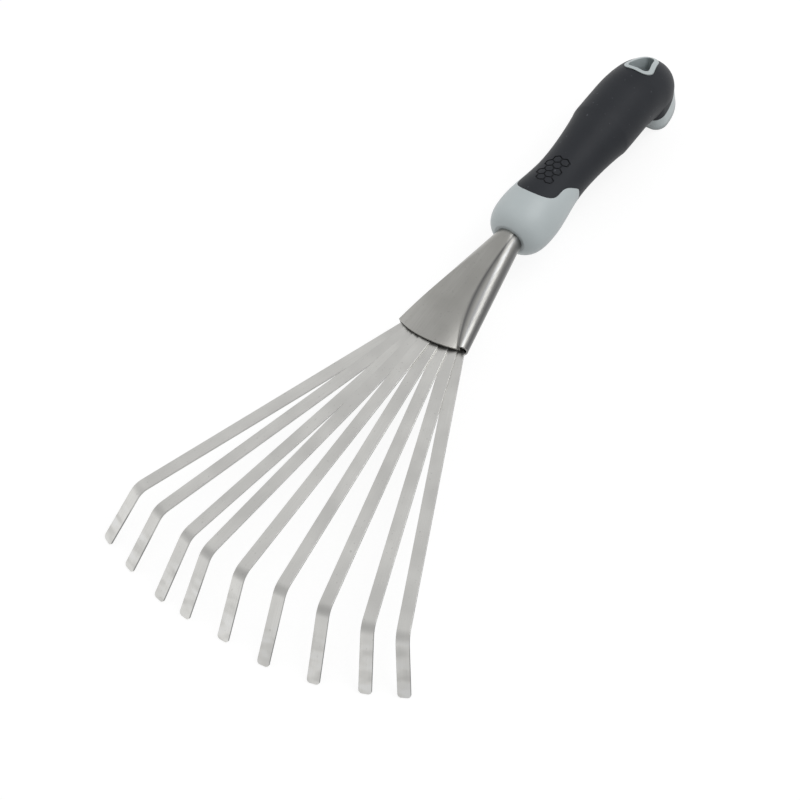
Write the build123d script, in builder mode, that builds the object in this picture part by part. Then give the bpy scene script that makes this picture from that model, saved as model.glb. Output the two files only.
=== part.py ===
"""Hand fan rake: nine flat spring tines in a folded steel socket on a two-colour moulded handle.

Millimetres. +X runs along the tool from the butt to the tines, +Z is up, and the rake lies on
Z = 0, on its nine toes and on the flat underside of its heel. The origin is on that flat,
between the hang hole and the heel's front face.
"""

import os
from math import asin, atan2, cos, hypot, radians, sin, tan

from build123d import *

# Fan: all tines point away from one apex, on a plane that dips towards the toes
fan_apex_x = 146.0
fan_apex_z = 31.2
fan_dip = 1.4
tine_angles = (-23.7, -18.3, -11.9, -7.4, -1.0, 5.6, 12.7, 19.5, 24.5)
toe_legs = (34.1, 35.3, 36.6, 35.9, 36.0, 38.0, 36.0, 32.4, 30.0)
tine_length = 219.7
tine_width = 6.35
tine_thickness = 0.9
root_cover = 9.0
tine_bend_radius = 9.0
toe_corner = 1.8
stack_gap = 0.02
middle_tine = 4

# Socket: one sheet folded to a flat oval mouth and a nearly round neck
neck_x = 112.5
neck_z = 28.6
neck_width = 13.6
neck_height = 13.0
neck_depth = 62.0
mouth_width = 43.0
mouth_reach = 39.6
fold_radius = 3.8
lip_trim = 1.7
sheet = 0.8
panel_press = 0.8
crown_radius = 42.0
mouth_top_gap = 1.8
mouth_bottom_gap = 1.3
seam_width = 0.4
key_hole = 5.0
key_place = 40.0

# Edges of the pressed top panel: distance from the neck and distance from the middle.
# On its left the fold stands up beside it, on its right it runs out over the fold.
panel_left = ((4.0, 3.0), (31.0, 5.0), (53.4, 9.1), (67.2, 15.7), (78.0, 21.5))
panel_right = ((4.0, 3.0), (78.0, 30.0))

# Weld bar behind the tine roots, from the socket's floor to its ceiling
weld_gap = 0.65
weld_width = 3.6
weld_spread = 34.0

# Handle: turned about an axis that falls towards the butt and bends down there, with a heel below
handle_fall = 3.8
front_radius = 8.6
front_tangent = (0.3, 1.0)
bulb_place, bulb_radius = 14.5, 16.0
waist_place, waist_radius = 45.5, 13.05
palm_place, palm_radius = 80.0, 15.75
bend_place, butt_radius = 100.0, 16.15
bend_radius = 45.0
bend_turn = 22.7
butt_length = 23.1
heel_front = 2.4
heel_corner = 6.0
heel_height = 9.0
heel_slope = 12.0
heel_edge = 0.6
heel_inset = 0.3
grip_thickness = 2.2
bore_clearance = 0.05

# Line where the grip starts: high at the back of the bulb, low and further back on the sides
parting_line = ((17.0, 19.0), (25.7, 11.0), (35.0, 8.7), (39.7, 5.0), (40.4, -19.0))
parting_start = (1.0, -1.5)
parting_end = (0.0, -1.0)

# Hang hole: a rounded triangle with its tip towards the end of the butt, and a raised rim
corner_place, corner_offset, corner_radius = -7.0, 3.3, 2.4
tip_place, tip_radius = -16.0, 2.6
rim_width = 2.2
rim_height = 0.5

# Thumb pad: rows of sunk lines round raised cells on top of the waist
pad_place = 38.5
pad_rows = 5
pad_columns = 2
cell_half = 2.1
groove_width = 0.7
groove_depth = 0.5

os.makedirs("parts", exist_ok=True)


def save(part, name):
    """Label one finished piece and write it to its own file."""
    part.label = name
    export_step(part, f"parts/{name}.step")


# Shared planes and places
lip_radius = mouth_reach - lip_trim
tine_root = lip_radius - root_cover
dip = radians(fan_dip)
fall = radians(handle_fall)
fan_forward = Vector(cos(dip), 0, -sin(dip))
fan_up = Vector(sin(dip), 0, cos(dip))
fan_apex = Vector(fan_apex_x, 0, fan_apex_z)
fan_plane = Plane(origin=fan_apex, x_dir=fan_forward, z_dir=fan_up)

neck_point = Vector(neck_x, 0, neck_z)
handle_back = Vector(-cos(fall), 0, -sin(fall))
handle_up = Vector(-sin(fall), 0, cos(fall))
handle_side = Plane(origin=neck_point, x_dir=handle_back, z_dir=(0, 1, 0))
handle_under = Plane(origin=neck_point, x_dir=handle_back, z_dir=(0, -1, 0))
handle_axis = Axis(neck_point, handle_back)
neck_plane = Plane(origin=neck_point, x_dir=(0, 1, 0), z_dir=-handle_back)

stack_step = tine_thickness + stack_gap
tine_levels = [stack_step * (middle_tine / 2 - abs(i - middle_tine)) for i in range(len(tine_angles))]
stack_top = max(tine_levels) + tine_thickness / 2
stack_bottom = min(tine_levels) - tine_thickness / 2

mouth_top = stack_top + mouth_top_gap + sheet
mouth_bottom = stack_bottom - mouth_bottom_gap - sheet
mouth_height = mouth_top - mouth_bottom
mouth_middle = (mouth_top + mouth_bottom) / 2
mouth_point = fan_apex + fan_forward * mouth_reach + fan_up * mouth_middle
mouth_plane = Plane(origin=mouth_point, x_dir=(0, 1, 0), z_dir=fan_forward)

panel_back = neck_point + handle_up * (neck_height / 2)
panel_front = mouth_point + fan_up * (mouth_height / 2 - panel_press)
panel_along = (panel_front - panel_back).normalized()
panel_plane = Plane(origin=panel_back, x_dir=panel_along, z_dir=panel_along.cross(Vector(0, 1, 0)))
crown_plane = Plane(origin=panel_back, x_dir=(0, 1, 0), z_dir=panel_along)

bend_start = neck_point + handle_back * bend_place
bend_plane = Plane(origin=bend_start, x_dir=-handle_up, z_dir=handle_back)
bend_axis = Axis(bend_start - handle_up * bend_radius, (0, -1, 0))
bend_angle = radians(bend_turn)
butt_back = handle_back * cos(bend_angle) - handle_up * sin(bend_angle)
butt_up = handle_up * cos(bend_angle) + handle_back * sin(bend_angle)
butt_point = bend_start + (butt_up - handle_up) * bend_radius
butt_under = Plane(origin=butt_point, x_dir=butt_back, z_dir=(0, -1, 0))
butt_axis = Axis(butt_point, butt_back)
butt_reach = hypot(butt_length * butt_back.X, butt_radius * butt_up.X)
# Seen from above, the butt's outline lies on a plane that falls towards its end
widest_drop = (butt_length**2 - butt_radius**2) * butt_back.X * butt_back.Z / butt_reach
widest_plane = Plane(origin=butt_point, x_dir=(0, 1, 0), z_dir=(-widest_drop, 0, butt_reach))
# The low wall at the heel's front, up to the butt, limits the edge round the heel's floor
heel_wall = butt_point.Z - butt_radius * butt_up.Z
floor_edge = min(heel_edge, heel_wall / 4)


def toe_bend_angle(leg, angle, level):
    """Downward bend, in radians, that brings the lower corner of a toe to the floor."""
    bend = tine_length - leg
    half = tine_thickness / 2
    dip_along = cos(radians(angle)) * sin(dip)
    height = fan_apex_z - bend * dip_along + level * cos(dip)
    reach = hypot(leg, half) * hypot(dip_along, cos(dip))
    lean = atan2(leg * dip_along + half * cos(dip), leg * cos(dip) - half * dip_along)
    return asin(height / reach) - lean


def make_tine(leg, angle, level):
    """One flat strip: straight from its root to the bend, then down to the floor."""
    outward = fan_forward * cos(radians(angle)) + Vector(0, 1, 0) * sin(radians(angle))
    side_plane = Plane(origin=fan_apex + fan_up * level, x_dir=outward, z_dir=outward.cross(fan_up))
    turn = toe_bend_angle(leg, angle, level)
    bend = tine_length - leg
    toe = (bend + leg * cos(turn), -leg * sin(turn))
    with BuildPart() as tine:
        with BuildLine(side_plane) as middle_line:
            FilletPolyline((tine_root, 0), (bend, 0), toe, radius=tine_bend_radius)
        with BuildSketch(Plane(middle_line.line @ 0, x_dir=side_plane.z_dir, z_dir=outward)):
            Rectangle(tine_width, tine_thickness)
        sweep()
        toe_face = tine.faces().sort_by(Axis.Z)[0]
        short_edges = toe_face.edges().filter_by(lambda edge: edge.length < 2 * tine_thickness)
        fillet(short_edges, radius=toe_corner)
    return tine.part


for number, (leg, angle, level) in enumerate(zip(toe_legs, tine_angles, tine_levels), start=1):
    save(make_tine(leg, angle, level), f"tine_{number}")


def pressing(inset):
    """The space above the pressed panel, within its edges and over its round crown."""
    with BuildPart() as space:
        with BuildSketch(panel_plane):
            with BuildLine():
                left = Spline(*[(along, across + inset) for along, across in panel_left])
                right = Line(*[(along, -across - inset) for along, across in panel_right])
                Line(left @ 0, right @ 0)
                Line(left @ 1, right @ 1)
            make_face()
        extrude(amount=neck_height, both=True)
        with BuildSketch(crown_plane):
            with Locations((0, -crown_radius)):
                Circle(crown_radius - inset)
        extrude(amount=4 * mouth_reach, both=True, mode=Mode.SUBTRACT)
    return space.part


def socket_body(inset):
    """The socket's loft and neck, drawn in by an inset on every side."""
    fold_middle = mouth_width / 2 - fold_radius
    fold_level = fold_radius - mouth_height / 2
    with BuildPart() as body:
        with BuildSketch(neck_plane) as neck_section:
            SlotOverall(neck_width - 2 * inset, neck_height - 2 * inset)
        # The mouth is flat below, crowned above and rounded where the sheet is folded
        with BuildSketch(mouth_plane):
            with BuildLine():
                crown = ThreePointArc((-fold_middle, fold_level), (0, -fold_level), (fold_middle, fold_level))
                Line(crown @ 0, crown @ 1)
            make_face()
            offset(amount=fold_radius - inset)
        loft(ruled=True)
        extrude(neck_section.sketch, amount=-neck_depth)
        add(pressing(inset), mode=Mode.SUBTRACT)
    return body.part


with BuildPart() as socket:
    add(socket_body(0))
    add(socket_body(sheet), mode=Mode.SUBTRACT)
    # Round the mouth's lip about the fan's apex
    with BuildSketch(fan_plane):
        with Locations((lip_radius, 0)):
            Rectangle(lip_radius, 2 * lip_radius)
        Circle(lip_radius, mode=Mode.SUBTRACT)
    extrude(amount=lip_radius, both=True, mode=Mode.SUBTRACT)
    # The sheet's two edges meet in a seam along the underside
    with BuildSketch(Plane(origin=neck_point, x_dir=handle_back, z_dir=-handle_up)):
        Rectangle(4 * mouth_reach + 2 * neck_depth, seam_width)
    extrude(amount=mouth_reach, mode=Mode.SUBTRACT)
    # Cross hole that locks the neck into the handle
    with BuildSketch(handle_side):
        with Locations((key_place, 0)):
            Circle(key_hole / 2)
    extrude(amount=neck_width, both=True, mode=Mode.SUBTRACT)
save(socket.part, "head_socket")


with BuildPart() as weld:
    add(socket_body(sheet))
    with BuildSketch(fan_plane):
        with BuildLine():
            front_arc = CenterArc((0, 0), tine_root - weld_gap, -weld_spread, 2 * weld_spread)
            back_arc = CenterArc((0, 0), tine_root - weld_gap - weld_width, -weld_spread, 2 * weld_spread)
            Line(front_arc @ 0, back_arc @ 0)
            Line(front_arc @ 1, back_arc @ 1)
        make_face()
    extrude(amount=neck_height, both=True, mode=Mode.INTERSECT)
save(weld.part, "root_weld")


def heel_block(inset):
    """Upright block of the butt's outline, cut off at the heel's front and along the butt's widest line."""
    with BuildPart() as block:
        with BuildSketch(Plane.XY) as outline:
            with Locations((butt_point.X, 0)):
                Ellipse(butt_reach - heel_inset - inset, butt_radius - heel_inset - inset)
            with Locations((heel_front - inset, 0)):
                Rectangle(
                    2 * butt_reach, 4 * butt_radius, align=(Align.MAX, Align.CENTER), mode=Mode.INTERSECT
                )
            fillet(outline.vertices().group_by(Axis.X)[-1], radius=heel_corner - inset)
        extrude(amount=neck_z, both=True)
        split(bisect_by=widest_plane, keep=Keep.BOTTOM)
    return block.part


def handle_form(inset):
    """Outer form of the handle and its heel, drawn in by an inset."""
    with BuildPart() as form:
        # Drawn below the axis, so that the seam of the turned face lies underneath
        with BuildSketch(handle_under):
            with BuildLine():
                side = Spline(
                    (inset, front_radius - inset),
                    (bulb_place, bulb_radius - inset),
                    (waist_place, waist_radius - inset),
                    (palm_place, palm_radius - inset),
                    (bend_place, butt_radius - inset),
                    tangents=(front_tangent, (1, 0)),
                )
                Polyline(side @ 1, (bend_place, 0), (inset, 0), side @ 0)
            make_face()
        revolve(axis=handle_axis)
        with BuildSketch(bend_plane):
            Circle(butt_radius - inset)
        revolve(axis=bend_axis, revolution_arc=bend_turn)
        # The butt's round end
        with BuildSketch(butt_under):
            with BuildLine():
                end = EllipticalCenterArc(
                    (0, 0), butt_length - inset, butt_radius - inset, start_angle=0, arc_size=90
                )
                Polyline(end @ 0, (0, 0), end @ 1)
            make_face()
        revolve(axis=butt_axis)
        add(heel_block(inset))
        # Nothing reaches below the floor
        below = (Align.CENTER, Align.CENTER, Align.MAX)
        Box(3 * neck_x, 4 * butt_radius, 2 * neck_z, align=below, mode=Mode.SUBTRACT)
    return form.part


def heel_line(along):
    """Height of the line where the grip meets the heel."""
    return heel_height - (along - butt_point.X) * tan(radians(heel_slope))


with BuildPart() as outer:
    add(handle_form(0))
    fillet(outer.faces().filter_by(Plane.XY).sort_by(Axis.Z)[0].edges(), radius=floor_edge)

inner = handle_form(grip_thickness)
pad_point = handle_side.from_local_coords((pad_place, 0, 0))

with BuildPart() as hard_zone:
    # Ahead of the parting line
    with BuildSketch(handle_side):
        with BuildLine():
            line = Spline(*parting_line, tangents=(parting_start, parting_end))
            reach = -bulb_place
            Polyline(line @ 0, (reach, parting_line[0][1]), (reach, parting_line[-1][1]), line @ 1)
        make_face()
    extrude(amount=2 * palm_radius, both=True)
    # The heel, below a line that rises towards the end of the butt
    with BuildSketch(Plane.XZ):
        with BuildLine():
            heel_end = butt_point.X - 2 * butt_length
            front_top = (heel_front, heel_line(heel_front))
            end_top = (heel_end, heel_line(heel_end))
            Polyline((heel_front, 0), front_top, end_top, (heel_end, 0), close=True)
        make_face()
    extrude(amount=2 * palm_radius, both=True)


def hole_column(margin):
    """Upright column of the hang hole's outline, grown by a margin."""
    with BuildPart() as column:
        with BuildSketch(Plane.XY):
            with Locations((corner_place, corner_offset), (corner_place, -corner_offset)):
                Circle(corner_radius + margin)
            with Locations((tip_place, 0)):
                Circle(tip_radius + margin)
            make_hull()
        extrude(amount=2 * neck_z)
    return column.part


with BuildPart() as rim:
    add(hole_column(rim_width))
    add(handle_form(-rim_height), mode=Mode.INTERSECT)

with BuildPart() as core:
    add(outer.part)
    add(hard_zone.part, mode=Mode.INTERSECT)
    add(inner)
    add(rim.part)
    add(hole_column(0), mode=Mode.SUBTRACT)
    # Bore for the socket's neck
    with BuildSketch(neck_plane):
        SlotOverall(neck_width + 2 * bore_clearance, neck_height + 2 * bore_clearance)
    extrude(amount=-(neck_depth + bore_clearance), mode=Mode.SUBTRACT)
    # Key moulded through the neck's cross hole
    with BuildSketch(handle_side):
        with Locations((key_place, 0)):
            Circle(key_hole / 2 - bore_clearance)
    extrude(amount=neck_width / 2 + 2 * bore_clearance, both=True)
save(core.part, "handle_core")

with BuildPart() as pad_lines:
    # Lines between six-sided cells, down to a skin just under the grip's surface
    with BuildSketch(Plane(origin=pad_point, x_dir=handle_back, z_dir=handle_up)):
        with HexLocations(cell_half, pad_rows, pad_columns):
            RegularPolygon(cell_half + groove_width / 2, 6, major_radius=False)
        with HexLocations(cell_half, pad_rows, pad_columns):
            RegularPolygon(cell_half - groove_width / 2, 6, major_radius=False, mode=Mode.SUBTRACT)
    extrude(amount=2 * palm_radius)
    add(handle_form(groove_depth), mode=Mode.SUBTRACT)

with BuildPart() as grip:
    add(outer.part)
    add(hard_zone.part, mode=Mode.SUBTRACT)
    add(inner, mode=Mode.SUBTRACT)
    add(hole_column(rim_width), mode=Mode.SUBTRACT)
    add(pad_lines.part, mode=Mode.SUBTRACT)
save(grip.part, "soft_grip")
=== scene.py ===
from math import radians

import bmesh
import bpy
from mathutils import Matrix, Vector


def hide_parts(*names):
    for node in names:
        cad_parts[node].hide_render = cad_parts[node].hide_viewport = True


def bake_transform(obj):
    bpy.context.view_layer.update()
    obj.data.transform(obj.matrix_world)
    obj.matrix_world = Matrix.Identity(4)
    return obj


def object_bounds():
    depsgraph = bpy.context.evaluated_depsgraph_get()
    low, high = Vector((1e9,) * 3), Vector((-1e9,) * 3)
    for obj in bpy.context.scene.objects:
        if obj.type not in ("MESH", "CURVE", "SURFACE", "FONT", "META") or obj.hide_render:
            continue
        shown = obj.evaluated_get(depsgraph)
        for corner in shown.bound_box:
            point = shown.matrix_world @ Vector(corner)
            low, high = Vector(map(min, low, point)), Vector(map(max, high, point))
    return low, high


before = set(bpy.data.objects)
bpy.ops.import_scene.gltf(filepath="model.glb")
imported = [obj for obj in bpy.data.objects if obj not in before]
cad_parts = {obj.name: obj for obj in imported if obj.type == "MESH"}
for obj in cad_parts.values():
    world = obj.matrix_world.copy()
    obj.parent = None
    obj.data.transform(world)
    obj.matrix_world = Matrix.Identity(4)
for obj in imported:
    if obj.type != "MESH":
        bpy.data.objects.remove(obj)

cad_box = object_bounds()
mm = 0.001

# Camera of the photograph
camera_place = Vector((0.6994, 0.5206, 1.0167))
camera_right = Vector((-0.5645, 0.8124, -0.1463))
camera_down = Vector((0.7232, 0.4012, -0.5621))
camera_lens = 117.0
camera_sensor = 36.0

# Tines: the strip and its lane in the pattern, its toe measured level from its end, where it bends in use,
# the rounding of its edges and how far their darkening, partly painted shade, is weakened behind the toe
tine_count = 9
strip_width, strip_lane = 6.35 * mm, 20 * mm
toe_run, toe_fade = 13 * mm, 4 * mm
bend_start_x, bend_end_x, bend_cuts = 182 * mm, 226 * mm, 22
edge_rounding, edge_shade_behind_toe = 0.16 * mm, 0.5
weld_distance = 0.002 * mm
flat_angle, sharp_angle = 0.5, 35.0
upright_limit = 0.1

# Fold of the socket: x and y of its crease at the neck and at the mouth, y of its outer edge there, and the
# tilts of the sheet, as z of its normal, between which the bands of painted shade and highlight along the
# fold set in
crease_neck, crease_mouth = Vector((116.5, 3.0)) * mm, Vector((179.7, 15.7)) * mm
crease_curve = 2.7
fold_edge_neck, fold_edge_mouth = 7.5 * mm, 20.0 * mm
fold_tilts = -0.2, 0.1

# Surfaces: rounding of edges in the shading, sizes of the patterns, height and strength of the relief
steel_edge, plastic_edge = 0.25 * mm, 0.3 * mm
edge_samples, corner_samples = 6, 8
cloud_size, speck_size = 22 * mm, 1.4 * mm
toe_patch_size, toe_patch_stretch = 7 * mm, (2.0, 0.6, 1.0)
mottle_size, dust_size = 17 * mm, 1.5 * mm
line_height, line_relief, grain_relief = 0.01 * mm, 0.25, 0.5

# Levels of its noise, or of the open air in corners where shade is painted, between which each pattern sets
# in, then its strength and its shade; and how far the roughness of steel and of plastic strays from its
# middle
cloud_levels, mottle_levels, rough_levels = (0.35, 0.65), (0.30, 0.70), (0.30, 0.70)
line_levels, line_strength = (0.40, 0.62), 0.35
speck_levels, speck_strength, speck_shade = (0.68, 0.76), 0.35, 0.6
dust_levels, dust_strength = (0.80, 0.88), 0.6
corner_levels, corner_shade = (0.35, 0.85), 0.38
steel_smoother, steel_rougher, plastic_stray = 0.05, 0.07, 0.06

# Studio: a white tent, darker above the toes, on the tool's left and behind its butt, and one soft box.
# Each shade of the tent has a direction, the cosines of its edge and its middle, and its level. In
# reflections the floor's glow falls to its dim level between two distances on the tool's left.
floor_half = 3.0
floor_glow, floor_faint, floor_light = 0.82, 0.25, 0.65
floor_dim_start, floor_dim_end, floor_dim = 0.0, 120 * mm, 0.25
tent_horizon, tent_top = 1.0, 0.70
tent_shades = (
    (Vector((0.55, -0.38, 0.74)), 0.80, 0.97, 0.62),
    (Vector((0.25, 0.95, 0.10)), 0.30, 0.95, 0.42),
    (Vector((-0.97, -0.10, 0.20)), 0.60, 0.95, 0.35),
)
softbox_place, softbox_size, softbox_power = Vector((-0.48, 0.75, 1.15)), 1.1, 8.0


def node(tree, kind, inputs=None, **settings):
    """Add one shader node, set its properties and its unlinked inputs."""
    made = tree.nodes.new(kind)
    for name, value in settings.items():
        setattr(made, name, value)
    for name, value in (inputs or {}).items():
        made.inputs[name].default_value = value
    return made


def ramp(tree, source, low, high, low_value, high_value):
    """Map a factor between two places, numbers or sockets, onto two values."""
    made = node(tree, "ShaderNodeMapRange", {"To Min": low_value, "To Max": high_value})
    tree.links.new(source, made.inputs["Value"])
    for name, value in (("From Min", low), ("From Max", high)):
        if isinstance(value, (int, float)):
            made.inputs[name].default_value = value
        else:
            tree.links.new(value, made.inputs[name])
    return made.outputs["Result"]


def combine(tree, operation, first, *others):
    """One factor from several, joined one after the other by the named operation."""
    for other in others:
        made = node(tree, "ShaderNodeMath", operation=operation)
        tree.links.new(first, made.inputs[0])
        tree.links.new(other, made.inputs[1])
        first = made.outputs[0]
    return first


def axes(tree, place):
    """The three numbers of a vector socket."""
    made = node(tree, "ShaderNodeSeparateXYZ")
    tree.links.new(place, made.inputs["Vector"])
    return made.outputs


def mix_colour(tree, factor, first, second):
    """Colour between two colours or sockets by a factor socket."""
    made = node(tree, "ShaderNodeMix", data_type="RGBA")
    tree.links.new(factor, made.inputs["Factor"])
    for name, value in (("A", first), ("B", second)):
        socket = [s for s in made.inputs if s.name == name and s.type == "RGBA"][0]
        if isinstance(value, tuple):
            socket.default_value = (*value, 1.0)
        else:
            tree.links.new(value, socket)
    return [s for s in made.outputs if s.type == "RGBA"][0]


def noise(tree, place, stretch, scale, detail):
    """Noise over coordinates stretched along their axes."""
    mapping = node(tree, "ShaderNodeMapping", {"Scale": stretch})
    tree.links.new(place, mapping.inputs["Vector"])
    made = node(tree, "ShaderNodeTexNoise", {"Scale": scale, "Detail": detail})
    tree.links.new(mapping.outputs["Vector"], made.inputs["Vector"])
    return made.outputs["Fac"]


def even_noise(tree, place, size, detail):
    """Noise of one feature size in all directions."""
    return noise(tree, place, (1, 1, 1), 1 / size, detail)


def bump(tree, shader, height, distance, strength, edge):
    """Raise the shader's normal by a height socket, over edges rounded by a small radius."""
    rounded = node(tree, "ShaderNodeBevel", {"Radius": edge}, samples=edge_samples)
    made = node(tree, "ShaderNodeBump", {"Distance": distance, "Strength": strength})
    tree.links.new(height, made.inputs["Height"])
    tree.links.new(rounded.outputs["Normal"], made.inputs["Normal"])
    tree.links.new(made.outputs["Normal"], shader.inputs["Normal"])


def new_material(name, coordinates):
    """A material with its tree, its shader and its coordinates."""
    made = bpy.data.materials.new(name)
    made.use_nodes = True
    tree = made.node_tree
    shader = tree.nodes["Principled BSDF"]
    place = node(tree, "ShaderNodeTexCoord").outputs[coordinates]
    return made, tree, shader, place


def brushed_steel(name, coordinates, dark, light, grain, rough, marks_and_painted_light=()):
    """Satin steel: fine lines along its grain, soft cloudy patches, a few darker specks and the marks it is
    given, among them painted shade and highlights.
    """
    made, tree, shader, place = new_material(name, coordinates)
    shader.inputs["Metallic"].default_value = 1.0
    lines = noise(tree, place, stretch=grain, scale=1.0, detail=4.0)
    clouds = ramp(tree, even_noise(tree, place, cloud_size, detail=2.0), *cloud_levels, 0.0, 1.0)
    specks = ramp(tree, even_noise(tree, place, speck_size, detail=1.0), *speck_levels, 0.0, speck_strength)
    colour = mix_colour(tree, clouds, dark, light)
    colour = mix_colour(tree, ramp(tree, lines, *line_levels, 0.0, line_strength), colour, dark)
    colour = mix_colour(tree, specks, colour, tuple(speck_shade * part for part in dark))
    # marks given by the caller, some of them painted shade and highlights
    for mask, mark in marks_and_painted_light:
        colour = mix_colour(tree, mask(tree, place), colour, mark)
    tree.links.new(colour, shader.inputs["Base Color"])
    roughness = ramp(tree, lines, *rough_levels, rough - steel_smoother, rough + steel_rougher)
    tree.links.new(roughness, shader.inputs["Roughness"])
    bump(tree, shader, lines, line_height, line_relief, steel_edge)
    return made


def on_toe(tree, place):
    """Mask of a strip's toe, from its end back to its bend."""
    return ramp(tree, axes(tree, place)["X"], toe_run, toe_run + toe_fade, 1.0, 0.0)


def shaded_cut_edges(tree, place):
    """Mask of the cut edges of a strip, full on its toe and weaker behind it: darker sheared steel with
    painted shade over it, which also dims their highlights.
    """
    from_middle = node(tree, "ShaderNodeMath", operation="WRAP")
    from_middle.inputs[1].default_value = strip_lane / 2
    from_middle.inputs[2].default_value = -strip_lane / 2
    tree.links.new(axes(tree, place)["Y"], from_middle.inputs[0])
    away = node(tree, "ShaderNodeMath", operation="ABSOLUTE")
    tree.links.new(from_middle.outputs[0], away.inputs[0])
    cut = ramp(tree, away.outputs[0], strip_width / 2 - edge_rounding, strip_width / 2, 0.0, 1.0)
    strength = ramp(tree, on_toe(tree, place), 0.0, 1.0, edge_shade_behind_toe, 1.0)
    return combine(tree, "MULTIPLY", strength, cut)


def toe_patches(low, high):
    """Maker of the mask of the uneven polish on a toe, between two levels of a noise."""

    def mask(tree, place):
        patches = noise(tree, place, toe_patch_stretch, scale=1 / toe_patch_size, detail=1.0)
        return combine(tree, "MULTIPLY", on_toe(tree, place), ramp(tree, patches, low, high, 0.0, 1.0))

    return mask


def painted_fold_band(low, middle, high):
    """Maker of the mask of a band along the fold, from 0 at its crease to 1 at its outer edge, that carries
    painted shade or a painted highlight.
    """

    def mask(tree, place):
        ways = axes(tree, place)
        along = ramp(tree, ways["X"], crease_neck.x, crease_mouth.x, 0.0, 1.0)
        curved = node(tree, "ShaderNodeMath", operation="POWER")
        tree.links.new(along, curved.inputs[0])
        curved.inputs[1].default_value = crease_curve
        crease = ramp(tree, curved.outputs[0], 0.0, 1.0, crease_neck.y, crease_mouth.y)
        edge = ramp(tree, along, 0.0, 1.0, fold_edge_neck, fold_edge_mouth)
        across = ramp(tree, ways["Y"], crease, edge, 0.0, 1.0)
        rise = ramp(tree, across, low, middle, 0.0, 1.0)
        fall = ramp(tree, across, middle, high, 1.0, 0.0)
        facing = axes(tree, node(tree, "ShaderNodeTexCoord").outputs["Normal"])
        upper = ramp(tree, facing["Z"], *fold_tilts, 0.0, 1.0)
        return combine(tree, "MULTIPLY", rise, fall, upper)

    return mask


def moulded_plastic(name, dark, light, dust, rough, shine, grain_size, grain_height, corner_reach):
    """Moulded plastic: faint mottling, a few specks of dust, a fine even grain and painted shade in corners
    and grooves.
    """
    made, tree, shader, place = new_material(name, "Object")
    shader.inputs["Specular IOR Level"].default_value = shine
    mottle = ramp(tree, even_noise(tree, place, mottle_size, detail=3.0), *mottle_levels, 0.0, 1.0)
    specks = ramp(tree, even_noise(tree, place, dust_size, detail=0.0), *dust_levels, 0.0, dust_strength)
    grain = even_noise(tree, place, grain_size, detail=2.0)
    # painted shade: the colour darkens where ambient occlusion finds nearby surfaces, in corners, grooves and
    # by the floor
    corners = node(tree, "ShaderNodeAmbientOcclusion", {"Distance": corner_reach}, samples=corner_samples)
    open_air = ramp(tree, corners.outputs["AO"], *corner_levels, 0.0, 1.0)
    colour = mix_colour(tree, mottle, dark, light)
    colour = mix_colour(tree, specks, colour, dust)
    colour = mix_colour(tree, open_air, tuple(corner_shade * part for part in dark), colour)
    tree.links.new(colour, shader.inputs["Base Color"])
    roughness = ramp(tree, grain, *rough_levels, rough - plastic_stray, rough + plastic_stray)
    tree.links.new(roughness, shader.inputs["Roughness"])
    bump(tree, shader, grain, grain_height, grain_relief, plastic_edge)
    return made


def dress(name, material):
    """Give a CAD node its material."""
    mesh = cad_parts[name].data
    mesh.materials.clear()
    mesh.materials.append(material)


def strip_form(name):
    """The CAD strip with its flat faces joined, and the directions along and across it."""
    form = bmesh.new()
    form.from_mesh(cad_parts[name].data)
    bmesh.ops.remove_doubles(form, verts=form.verts, dist=weld_distance)
    bmesh.ops.dissolve_limit(form, angle_limit=radians(flat_angle), verts=form.verts, edges=form.edges)
    form.normal_update()
    upright = [face for face in form.faces if abs(face.normal.z) < upright_limit]
    across = max(upright, key=lambda face: face.calc_area()).normal.copy()
    along = across.cross(Vector((0, 0, 1))).normalized()
    if along.x < 0:
        along, across = -along, -across
    return form, along, across


def round_and_cut(form):
    """Round the sharp edges of a strip and cut it across where it bends in use."""
    sharp = [e for e in form.edges if e.is_manifold and e.calc_face_angle() > radians(sharp_angle)]
    bmesh.ops.bevel(
        form, geom=sharp, offset=edge_rounding, segments=2, profile=0.5, affect="EDGES", clamp_overlap=True
    )
    for cut in range(bend_cuts + 1):
        x = bend_start_x + (bend_end_x - bend_start_x) * cut / bend_cuts
        everything = form.verts[:] + form.edges[:] + form.faces[:]
        bmesh.ops.bisect_plane(form, geom=everything, plane_co=(x, 0, 0), plane_no=(1, 0, 0))


def make_strip(number, material):
    """A tine cut across where it bends in use, with its pattern laid out from its end and in a lane of its
    own.
    """
    name = f"tine_{number}"
    form, along, across = strip_form(name)
    round_and_cut(form)
    end = max(v.co.dot(along) for v in form.verts)
    sides = [v.co.dot(across) for v in form.verts]
    middle = (min(sides) + max(sides)) / 2
    lane = number * strip_lane
    layer = form.loops.layers.uv.new("strip")
    for face in form.faces:
        face.smooth = True
        for loop in face.loops:
            loop[layer].uv = (end - loop.vert.co.dot(along), loop.vert.co.dot(across) - middle + lane)
    mesh = bpy.data.meshes.new(f"{name}_strip")
    form.to_mesh(mesh)
    form.free()
    mesh.materials.append(material)
    strip = bpy.data.objects.new(f"{name}_strip", mesh)
    bpy.context.scene.collection.objects.link(strip)
    strip.modifiers.new("even_normals", "WEIGHTED_NORMAL").keep_sharp = True
    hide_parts(name)
    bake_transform(strip)


def background_ray(tree):
    """1 for rays that show the background: from the camera, in reflections and through glass."""
    rays = node(tree, "ShaderNodeLightPath").outputs
    return combine(tree, "MAXIMUM", rays["Is Camera Ray"], rays["Is Glossy Ray"], rays["Is Transmission Ray"])


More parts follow.
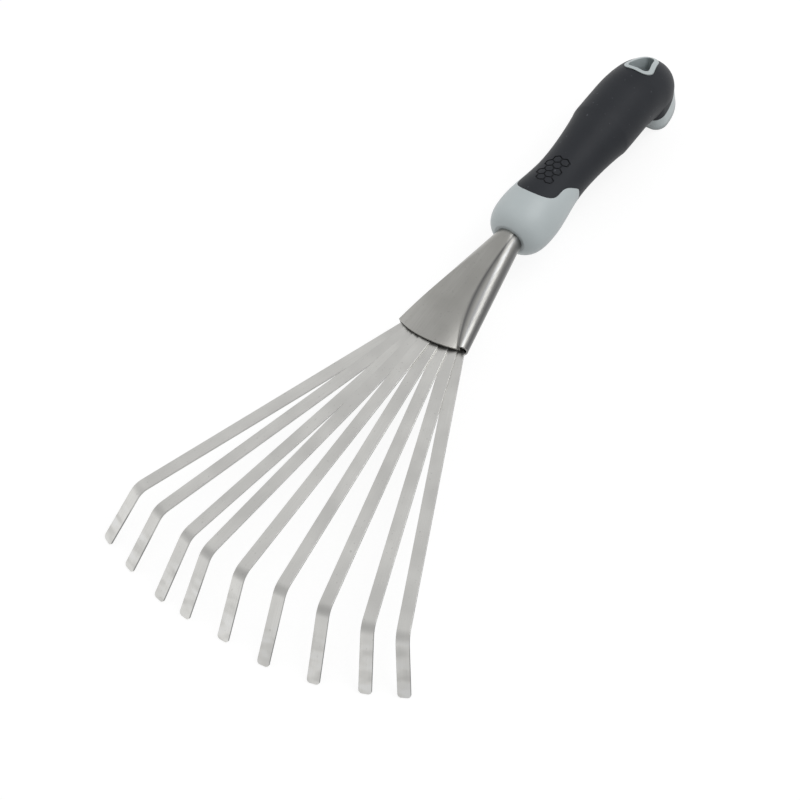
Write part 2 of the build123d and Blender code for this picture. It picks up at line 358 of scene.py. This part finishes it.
def make_floor():
    """Pale floor with a soft shadow: white to the camera, dimmer in reflections on the tool's left."""
    mesh = bpy.data.meshes.new("floor")
    corners = [(x * floor_half, y * floor_half, 0) for x, y in ((-1, -1), (1, -1), (1, 1), (-1, 1))]
    mesh.from_pydata(corners, [], [(0, 1, 2, 3)])
    floor = bpy.data.objects.new("floor", mesh)
    bpy.context.scene.collection.objects.link(floor)
    made = bpy.data.materials.new("floor")
    made.use_nodes = True
    tree = made.node_tree
    tree.nodes.remove(tree.nodes["Principled BSDF"])
    plain = node(tree, "ShaderNodeBsdfDiffuse", {"Color": (floor_light, floor_light, floor_light, 1)})
    faint = node(tree, "ShaderNodeBsdfDiffuse", {"Color": (floor_faint, floor_faint, floor_faint, 1)})
    sideways = axes(tree, node(tree, "ShaderNodeTexCoord").outputs["Object"])["Y"]
    mirrored = ramp(tree, sideways, floor_dim_start, floor_dim_end, floor_glow, floor_dim)
    camera_ray = node(tree, "ShaderNodeLightPath").outputs["Is Camera Ray"]
    seen = ramp(tree, camera_ray, 0.0, 1.0, 0.0, floor_glow)
    glow = node(tree, "ShaderNodeEmission", {"Color": (1, 1, 1, 1)})
    tree.links.new(combine(tree, "MAXIMUM", mirrored, seen), glow.inputs["Strength"])
    lifted = node(tree, "ShaderNodeAddShader")
    tree.links.new(faint.outputs[0], lifted.inputs[0])
    tree.links.new(glow.outputs[0], lifted.inputs[1])
    choose = node(tree, "ShaderNodeMixShader")
    tree.links.new(background_ray(tree), choose.inputs[0])
    tree.links.new(plain.outputs[0], choose.inputs[1])
    tree.links.new(lifted.outputs[0], choose.inputs[2])
    tree.links.new(choose.outputs[0], tree.nodes["Material Output"].inputs["Surface"])
    mesh.materials.append(made)


def make_world():
    """White to the camera; as light and in reflections a tent with soft shades."""
    world = bpy.data.worlds.new("studio")
    bpy.context.scene.world = world
    world.use_nodes = True
    tree = world.node_tree
    background = tree.nodes["Background"]
    background.inputs["Color"].default_value = (1, 1, 1, 1)
    direction = node(tree, "ShaderNodeTexCoord").outputs["Generated"]
    tent = ramp(tree, axes(tree, direction)["Z"], 0.0, 1.0, tent_horizon, tent_top)
    for place, edge, middle, level in tent_shades:
        towards = node(tree, "ShaderNodeVectorMath", operation="DOT_PRODUCT")
        towards.inputs[1].default_value = place.normalized()
        tree.links.new(direction, towards.inputs[0])
        tent = combine(tree, "MULTIPLY", tent, ramp(tree, towards.outputs["Value"], edge, middle, 1.0, level))
    seen = node(tree, "ShaderNodeLightPath").outputs["Is Camera Ray"]
    tree.links.new(combine(tree, "MAXIMUM", tent, seen), background.inputs["Strength"])


def make_light(name, place, size, power):
    """A square soft lamp that points at the middle of the rake."""
    lamp = bpy.data.lights.new(name, "AREA")
    lamp.size = size
    lamp.energy = power
    item = bpy.data.objects.new(name, lamp)
    item.location = place
    middle = (cad_box[0] + cad_box[1]) / 2
    item.rotation_mode = "QUATERNION"
    item.rotation_quaternion = (middle - place).to_track_quat("-Z", "Y")
    bpy.context.scene.collection.objects.link(item)


def make_camera():
    """The photograph's camera, its axes given in the rake's frame."""
    lens = bpy.data.cameras.new("photo_camera")
    lens.lens = camera_lens
    lens.sensor_width = camera_sensor
    camera = bpy.data.objects.new("photo_camera", lens)
    back = camera_down.cross(camera_right).normalized()
    up = -camera_down.normalized()
    right = up.cross(back)
    turn = Matrix((right, up, back)).transposed().to_4x4()
    camera.matrix_world = Matrix.Translation(camera_place) @ turn
    bpy.context.scene.collection.objects.link(camera)
    bpy.context.scene.camera = camera


# Materials: colours in linear light, the darker first
tine_steel = brushed_steel(
    "tine_steel",
    "UV",
    dark=(0.65, 0.645, 0.625),
    light=(0.76, 0.755, 0.73),
    grain=(40, 2600, 1),
    rough=0.32,
    marks_and_painted_light=(
        (toe_patches(0.50, 0.66), (0.745, 0.745, 0.735)),
        (toe_patches(0.50, 0.34), (0.60, 0.595, 0.575)),
        # cut edges: darker sheared steel with painted shade over it, weaker behind the toe
        (shaded_cut_edges, (0.22, 0.22, 0.215)),
    ),
)
socket_steel = brushed_steel(
    "socket_steel",
    "Object",
    dark=(0.385, 0.38, 0.36),
    light=(0.455, 0.45, 0.43),
    grain=(60, 1800, 1800),
    rough=0.34,
    marks_and_painted_light=(
        # painted shade in the crease of the fold
        (painted_fold_band(0.0, 0.16, 0.42), (0.15, 0.15, 0.15)),
        # painted highlight, a bright streak along the fold
        (painted_fold_band(0.42, 0.56, 0.70), (0.47, 0.475, 0.48)),
        # painted shade, a dark reflection on the fold's outer side
        (painted_fold_band(0.66, 0.98, 1.30), (0.20, 0.20, 0.20)),
    ),
)
weld_steel = brushed_steel(
    "weld_steel",
    "Object",
    dark=(0.10, 0.10, 0.095),
    light=(0.18, 0.175, 0.17),
    grain=(600, 600, 600),
    rough=0.55,
)
grey_plastic = moulded_plastic(
    "grey_plastic",
    dark=(0.490, 0.540, 0.550),
    light=(0.520, 0.570, 0.580),
    dust=(0.54, 0.58, 0.59),
    rough=0.40,
    shine=0.5,
    grain_size=0.4 * mm,
    grain_height=0.01 * mm,
    # a long reach paints shade in the hang hole and along the heel's lower edge
    corner_reach=5 * mm,
)
soft_black = moulded_plastic(
    "soft_black",
    dark=(0.0305, 0.0330, 0.0380),
    light=(0.0350, 0.0375, 0.0430),
    dust=(0.11, 0.115, 0.13),
    rough=0.46,
    shine=0.12,
    grain_size=0.35 * mm,
    grain_height=0.02 * mm,
    # a short reach paints shade in the grooves of the thumb pad and at the seams
    corner_reach=0.9 * mm,
)

for number in range(1, tine_count + 1):
    make_strip(number, tine_steel)
dress("head_socket", socket_steel)
dress("root_weld", weld_steel)
dress("handle_core", grey_plastic)
dress("soft_grip", soft_black)
make_floor()
make_world()
make_light("softbox", softbox_place, softbox_size, softbox_power)
make_camera()
bpy.context.scene.view_settings.view_transform = "Standard"
